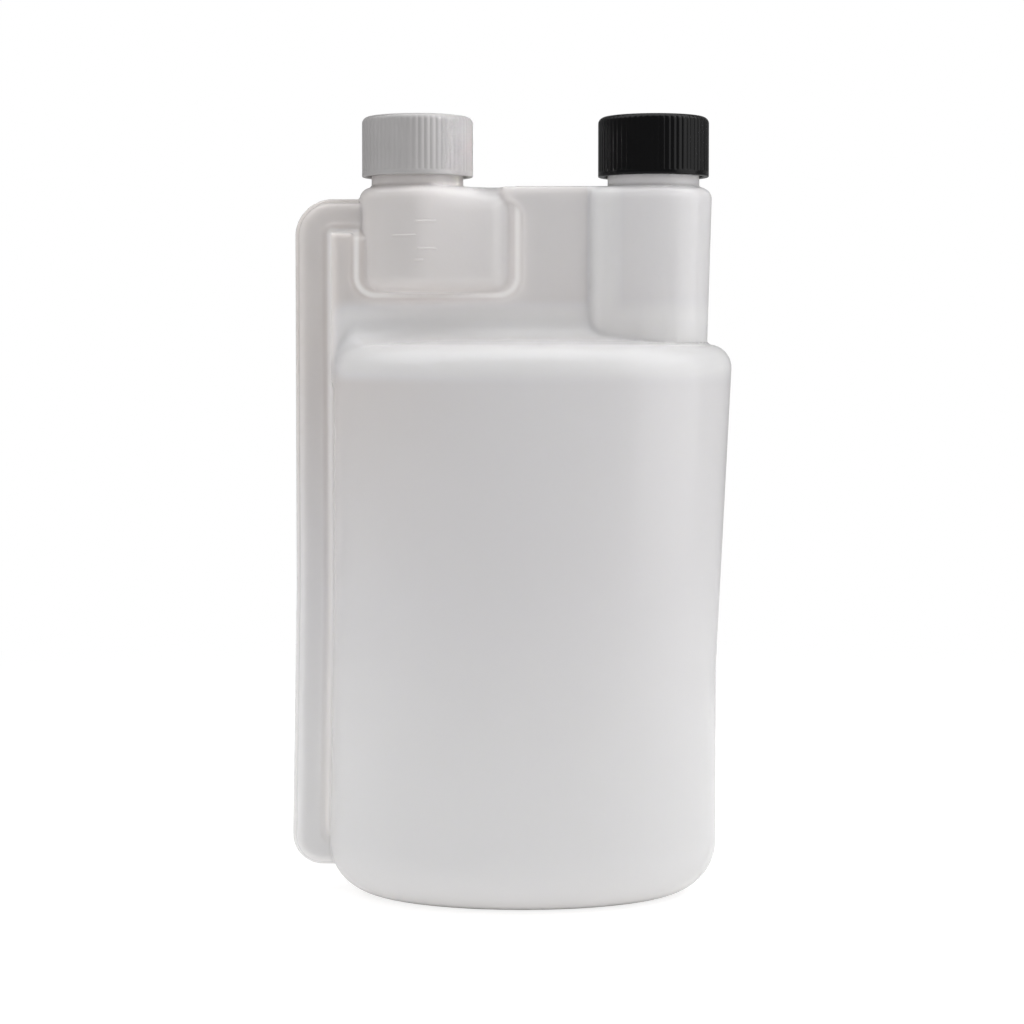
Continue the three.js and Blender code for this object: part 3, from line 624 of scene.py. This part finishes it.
def blowMouldedHdpe():
    f = bottleFinish
    material, tree = newMaterial("blow-moulded natural HDPE")
    point = addNode(tree, "ShaderNodeTexCoord").outputs["Object"]
    tone = addNode(tree, "ShaderNodeTexNoise", {"Vector": point, "Scale": 1000 / f["toneSize"], "Detail": 3.0})
    sides = addNode(tree, "ShaderNodeSeparateXYZ", {0: point})

    def blend(value, ends, low=0.0, high=1.0):
        return addNode(tree, "ShaderNodeMapRange", {
            "Value": value, "From Min": ends[0] * mm, "From Max": ends[1] * mm, "To Min": low, "To Max": high},
            interpolation_type="SMOOTHSTEP").outputs[0]

    def calculate(operation, *values):
        return addNode(tree, "ShaderNodeMath", dict(enumerate(values)), operation=operation).outputs[0]

    def pick(share, one, two):
        return addNode(tree, "ShaderNodeMix", {0: share, 2: one, 3: two}, data_type="FLOAT").outputs[0]

    # Painted light and shade as one tone: 0 painted shade, 0.5 plain, 1 painted light. The body is painted lighter
    # towards the foot, as light from below, and painted darker in the upper left corner, as painted shade
    height, across = sides.outputs[2], sides.outputs[0]
    paintedUpperLeftShade = calculate("MULTIPLY", blend(height, f["paintedShadeHeights"]), blend(across, f["paintedShadeSides"], 0.0, 0.5))
    wall = calculate("SUBTRACT", blend(height, f["paintedFootLightHeights"], 1.0, 0.5), paintedUpperLeftShade)
    # above the shoulder the panel is painted a little darker, as painted shadow of the column, and the column's
    # corner beside it is painted lighter, as painted light on its side that faces left
    corner = addNode(tree, "ShaderNodeValToRGB", {0: addNode(tree, "ShaderNodeMapRange", {
        "Value": across, "From Min": f["paintedShadeSides"][1] * mm, "From Max": f["paintedCornerLightSides"][2] * mm}).outputs[0]})
    span = f["paintedCornerLightSides"][2] - f["paintedShadeSides"][1]
    stops = ((f["paintedShadeSides"][1], 0.0), (0.0, f["paintedPanelShadow"]), (f["paintedPanelShadowEnd"], f["paintedPanelShadow"]),
             (f["paintedCornerLightSides"][0], f["paintedCornerLight"]), (f["paintedCornerLightSides"][1], f["paintedCornerLight"]), (f["paintedCornerLightSides"][2], 0.5))
    for number, (place, value) in enumerate(stops):
        spot = (place - f["paintedShadeSides"][1]) / span
        stop = corner.color_ramp.elements[number] if number < 2 else corner.color_ramp.elements.new(spot)
        stop.position, stop.color = spot, (value, value, value, 1)
    wall = pick(blend(height, f["upperHeights"]), wall, corner.outputs[0])
    # the shoulder and the fillet above it are painted lighter, as painted light that lifts the shade under the chamber
    away = calculate("ABSOLUTE", calculate("SUBTRACT", height, f["paintedBandLightHeight"] * mm))
    paintedBandShare = calculate("MULTIPLY", blend(away, f["paintedBandLightHalf"], 1.0, 0.0), blend(across, f["paintedBandLightSides"]))
    wall = pick(paintedBandShare, wall, f["paintedBandLight"])
    wall = calculate("MULTIPLY_ADD", tone.outputs[0], -f["toneShare"], wall)
    # the tone picks painted shade, the plastic's own milk, or painted light
    colour = addNode(tree, "ShaderNodeValToRGB", {0: wall})
    colour.color_ramp.elements.new(0.5)
    for stop, written in zip(colour.color_ramp.elements, (f["paintedShadeMilk"], f["milk"], f["paintedLightMilk"])):
        stop.color = linear(written)
    grain = addNode(tree, "ShaderNodeTexNoise", {"Vector": point, "Scale": 1000 / f["grainSize"], "Detail": 2.0})
    rough = addNode(tree, "ShaderNodeMapRange", {"Value": tone.outputs[0], "From Min": 0.1, "From Max": 0.9,
                                                 "To Min": f["roughHigh"], "To Max": f["roughLow"]})
    # the welded seams are solid, so they send more light back and look whiter than the wall. Their shorter scatter
    # is the weld's own; their whiter colour is painted light
    weld = addNode(tree, "ShaderNodeAttribute", attribute_name="weld").outputs["Fac"]
    colour = addNode(tree, "ShaderNodeMix", {0: weld, 6: colour.outputs[0], 7: linear(f["seam"])},
                     data_type="RGBA")
    scatter = addNode(tree, "ShaderNodeMapRange", {
        "Value": weld, "To Min": f["scatterLength"] * mm, "To Max": f["seamScatter"] * mm}).outputs[0]
    wave = addNode(tree, "ShaderNodeTexNoise", {"Vector": point, "Scale": 1000 / f["waveSize"], "Detail": 1.0})
    away = addNode(tree, "ShaderNodeMath", {0: sides.outputs[1]}, operation="ABSOLUTE")
    parting = addNode(tree, "ShaderNodeMapRange", {
        "Value": away.outputs[0], "From Min": 0.0, "From Max": f["partingWidth"] * mm, "To Min": 1.0, "To Max": 0.0},
        interpolation_type="SMOOTHSTEP")
    surface = addNode(tree, "ShaderNodeBump", {"Height": wave.outputs[0], "Distance": f["waveDepth"] * mm})
    surface = addNode(tree, "ShaderNodeBump", {"Height": grain.outputs[0], "Distance": f["grainDepth"] * mm,
                                               "Normal": surface.outputs[0]})
    surface = addNode(tree, "ShaderNodeBump", {"Height": parting.outputs[0], "Distance": f["partingDepth"] * mm,
                                               "Normal": surface.outputs[0]})
    shader = addNode(tree, "ShaderNodeBsdfPrincipled", {
        "Base Color": colour.outputs[2], "Roughness": rough.outputs[0], "IOR": 1.52, "Normal": surface.outputs[0],
        "Subsurface Weight": 1.0, "Subsurface Radius": (1.0, 1.0, 0.95), "Subsurface Scale": scatter})
    addNode(tree, "ShaderNodeOutputMaterial", {"Surface": shader.outputs[0]})
    return material


# Polypropylene, injection-moulded: an even, dense colour and a smooth skin with faint flow marks round the gate
whiteCapFinish = {"name": "injection-moulded white PP", "light": "#a7a5a5", "dark": "#9f9d9d", "roughness": 0.33,
                  "shine": 1.0}
blackCapFinish = {"name": "injection-moulded black PP", "light": "#0a0a0b", "dark": "#070708", "roughness": 0.2,
                  "shine": 0.2}


def mouldedPp(finish, centre):
    material, tree = newMaterial(finish["name"])
    point = addNode(tree, "ShaderNodeTexCoord").outputs["Object"]
    centred = addNode(tree, "ShaderNodeMapping", {"Vector": point, "Location": (-centre * mm, 0, 0)})
    flow = addNode(tree, "ShaderNodeTexNoise", {"Vector": centred.outputs[0], "Scale": 1000 / 9.0, "Detail": 1.0})
    colour = addNode(tree, "ShaderNodeValToRGB", {0: flow.outputs[0]})
    colour.color_ramp.elements[0].position, colour.color_ramp.elements[1].position = 0.1, 0.9
    colour.color_ramp.elements[0].color = linear(finish["dark"])
    colour.color_ramp.elements[1].color = linear(finish["light"])
    rough = addNode(tree, "ShaderNodeMapRange", {
        "Value": flow.outputs[0], "From Min": 0.1, "From Max": 0.9,
        "To Min": finish["roughness"] - 0.04, "To Max": finish["roughness"] + 0.04})
    grain = addNode(tree, "ShaderNodeTexNoise", {"Vector": point, "Scale": 1000 / 0.5, "Detail": 2.0})
    surface = addNode(tree, "ShaderNodeBump", {"Height": flow.outputs[0], "Distance": 0.02 * mm})
    surface = addNode(tree, "ShaderNodeBump", {"Height": grain.outputs[0], "Distance": 0.0015 * mm,
                                               "Normal": surface.outputs[0]})
    shader = addNode(tree, "ShaderNodeBsdfPrincipled", {
        "Base Color": colour.outputs[0], "Roughness": rough.outputs[0], "IOR": 1.49, "Normal": surface.outputs[0],
        "Specular IOR Level": finish["shine"]})
    addNode(tree, "ShaderNodeOutputMaterial", {"Surface": shader.outputs[0]})
    return material


# Polyethylene foam sheet, die-cut: matt white with fine closed cells
def foamedPe():
    material, tree = newMaterial("foamed PE liner")
    point = addNode(tree, "ShaderNodeTexCoord").outputs["Object"]
    cells = addNode(tree, "ShaderNodeTexVoronoi", {"Vector": point, "Scale": 1000 / 0.4})
    colour = addNode(tree, "ShaderNodeValToRGB", {0: cells.outputs[0]})
    colour.color_ramp.elements[0].color, colour.color_ramp.elements[1].color = linear("#f2f1ee"), linear("#dddcd8")
    surface = addNode(tree, "ShaderNodeBump", {"Height": cells.outputs[0], "Distance": 0.05 * mm})
    shader = addNode(tree, "ShaderNodeBsdfPrincipled", {
        "Base Color": colour.outputs[0], "Roughness": 0.75, "IOR": 1.5, "Normal": surface.outputs[0]})
    addNode(tree, "ShaderNodeOutputMaterial", {"Surface": shader.outputs[0]})
    return material


# Pale floor: the camera sees it white with the object's soft shadow on it, and it throws pale light back
floorFinish = {"paper": "#e6e6e6", "shadowTone": 0.3, "lift": 0.8, "fadeStart": 0.25, "fadeEnd": 0.6}


def studioFloor():
    f = floorFinish
    mesh = bpy.data.meshes.new("floor")
    mesh.from_pydata([(-4, -4, 0), (4, -4, 0), (4, 4, 0), (-4, 4, 0)], [], [(0, 1, 2, 3)])
    floor = addObject("floor", mesh)
    material, tree = newMaterial("white studio paper")
    seen = addNode(tree, "ShaderNodeLightPath").outputs["Is Camera Ray"]
    point = addNode(tree, "ShaderNodeTexCoord").outputs["Object"]
    fibres = addNode(tree, "ShaderNodeTexNoise", {"Vector": point, "Scale": 1000 / 0.7, "Detail": 2.0})
    surface = addNode(tree, "ShaderNodeBump", {"Height": fibres.outputs[0], "Distance": 0.02 * mm})
    away = addNode(tree, "ShaderNodeVectorMath", {0: point}, operation="LENGTH").outputs["Value"]
    fade = addNode(tree, "ShaderNodeMapRange", {"Value": away, "From Min": f["fadeStart"], "From Max": f["fadeEnd"]},
                   interpolation_type="SMOOTHSTEP").outputs[0]
    paper = addNode(tree, "ShaderNodeBsdfDiffuse", {"Color": linear(f["paper"]), "Normal": surface.outputs[0]})
    toned = addNode(tree, "ShaderNodeBsdfDiffuse", {"Color": (f["shadowTone"],) * 3 + (1.0,),
                                                    "Normal": surface.outputs[0]})
    lift = addNode(tree, "ShaderNodeEmission", {"Strength": f["lift"]})
    shown = addNode(tree, "ShaderNodeAddShader", {0: toned.outputs[0], 1: lift.outputs[0]})
    white = addNode(tree, "ShaderNodeEmission", {"Strength": 1.0})
    shown = addNode(tree, "ShaderNodeMixShader", {0: fade, 1: shown.outputs[0], 2: white.outputs[0]})
    shader = addNode(tree, "ShaderNodeMixShader", {0: seen, 1: paper.outputs[0], 2: shown.outputs[0]})
    addNode(tree, "ShaderNodeOutputMaterial", {"Surface": shader.outputs[0]})
    mesh.materials.append(material)
    return floor


# Studio light: a dim room, a large softbox overhead, one on the right, weaker fills on all four sides, a narrow
# lamp on the white cap, and a table top that is lit from below
room = 0.24
softboxes = {
    "right softbox": {"at": (0.75, -0.25, 0.4), "aim": (0.0, 0.0, 0.1), "size": (0.75, 0.9), "power": 2.7},
    "right fill": {"at": (0.75, -0.25, 0.36), "aim": (0.0, 0.0, 0.1), "size": (0.4, 0.5), "power": 0.5,
                   "mirrored": False},
    "left fill": {"at": (-0.72, -0.38, 0.22), "aim": (0.0, 0.0, 0.1), "size": (0.4, 0.5), "power": 1.4,
                  "mirrored": False},
    "overhead softbox": {"at": (0.0, 0.0, 0.85), "aim": (0.0, 0.0, 0.1), "size": (1.8, 0.6), "power": 5.9},
    "front fill": {"at": (0.0, -0.9, 0.5), "aim": (0.0, 0.0, 0.1), "size": (1.2, 0.3), "power": 1.7,
                   "mirrored": False},
    "back fill": {"at": (0.0, 0.9, 0.5), "aim": (0.0, 0.0, 0.1), "size": (1.2, 0.3), "power": 1.5,
                  "mirrored": False},
    "cap snoot": {"at": (0.525, -0.05, 0.5), "aim": (-0.022, 0.0, 0.222), "size": (0.06, 0.06), "power": 0.017,
                  "spread": 9, "mirrored": False},
    "light table": {"at": (0.0, -0.1, 0.001), "aim": (0.0, -0.1, 1.0), "size": (1.0, 0.8), "power": 0.5},
}


def lightStudio():
    scene = bpy.context.scene
    world = bpy.data.worlds.new("white room")
    scene.world = world
    world.use_nodes = True
    tree = world.node_tree
    tree.nodes.clear()
    seen = addNode(tree, "ShaderNodeLightPath").outputs["Is Camera Ray"]
    strength = addNode(tree, "ShaderNodeMapRange", {"Value": seen, "To Min": room, "To Max": 1.0}).outputs[0]
    shown = addNode(tree, "ShaderNodeBackground", {"Color": (1, 1, 1, 1), "Strength": strength})
    addNode(tree, "ShaderNodeOutputWorld", {"Surface": shown.outputs[0]})
    for name, box in softboxes.items():
        lamp = bpy.data.lights.new(name, "AREA")
        lamp.shape, (lamp.size, lamp.size_y), lamp.energy = "RECTANGLE", box["size"], box["power"]
        lamp.spread = math.radians(box.get("spread", 180))
        holder = bpy.data.objects.new(name, lamp)
        bpy.context.scene.collection.objects.link(holder)
        holder.location = box["at"]
        holder.visible_camera = False
        holder.visible_glossy = box.get("mirrored", True)
        holder.rotation_euler = (Vector(box["aim"]) - Vector(box["at"])).to_track_quat("-Z", "Y").to_euler()
    scene.view_settings.view_transform = "Standard"
    # light crosses the milky walls and the hollow several times before it leaves
    scene.cycles.max_bounces, scene.cycles.diffuse_bounces = 16, 12


# The photograph's viewpoint: straight on, the eye at three quarters of the bottle's height
cameraPlace = {"at": (0.0002, -0.7, 0.148), "pitchDown": 2.49, "lens": 89.8, "shift": -0.0477}


def placeCamera():
    c = cameraPlace
    camera = bpy.data.cameras.new("camera")
    camera.lens, camera.shift_y, camera.clip_start = c["lens"], c["shift"], 0.01
    holder = bpy.data.objects.new("camera", camera)
    bpy.context.scene.collection.objects.link(holder)
    holder.location = c["at"]
    holder.rotation_euler = (math.radians(90 - c["pitchDown"]), 0, 0)
    bpy.context.scene.camera = holder


print("finishes")
hdpe = blowMouldedHdpe()
whitePp = mouldedPp(whiteCapFinish, bottleForm["doseX"])
blackPp = mouldedPp(blackCapFinish, bottleForm["fillX"])
foam = foamedPe()

print("bottle and its graduation marks")
bottle = makeBottle(hdpe)

print("caps and liners")
screwCap = capTree()
doseCap = makeCap("dose_cap_shell", bottleForm["doseX"], screwCap, whitePp)
fillCap = makeCap("fill_cap_shell", bottleForm["fillX"], screwCap, blackPp)
doseLiner = makeLiner("dose_cap_foam", bottleForm["doseX"], foam)
fillLiner = makeLiner("fill_cap_foam", bottleForm["fillX"], foam)

for piece, node, body, slot in (
        (bottle, "bottle", "bottle", "bottle_wall"), (doseCap, "dose_cap", "dose_cap", "dose_cap_shell"),
        (fillCap, "fill_cap", "fill_cap", "fill_cap_shell"), (doseLiner, "dose_cap_liner", "dose_liner", "liner_foam"),
        (fillLiner, "fill_cap_liner", "fill_liner", "liner_foam")):
    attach(piece, body)
    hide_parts(node)

print("floor, light and camera")
studioFloor()
lightStudio()
placeCamera()
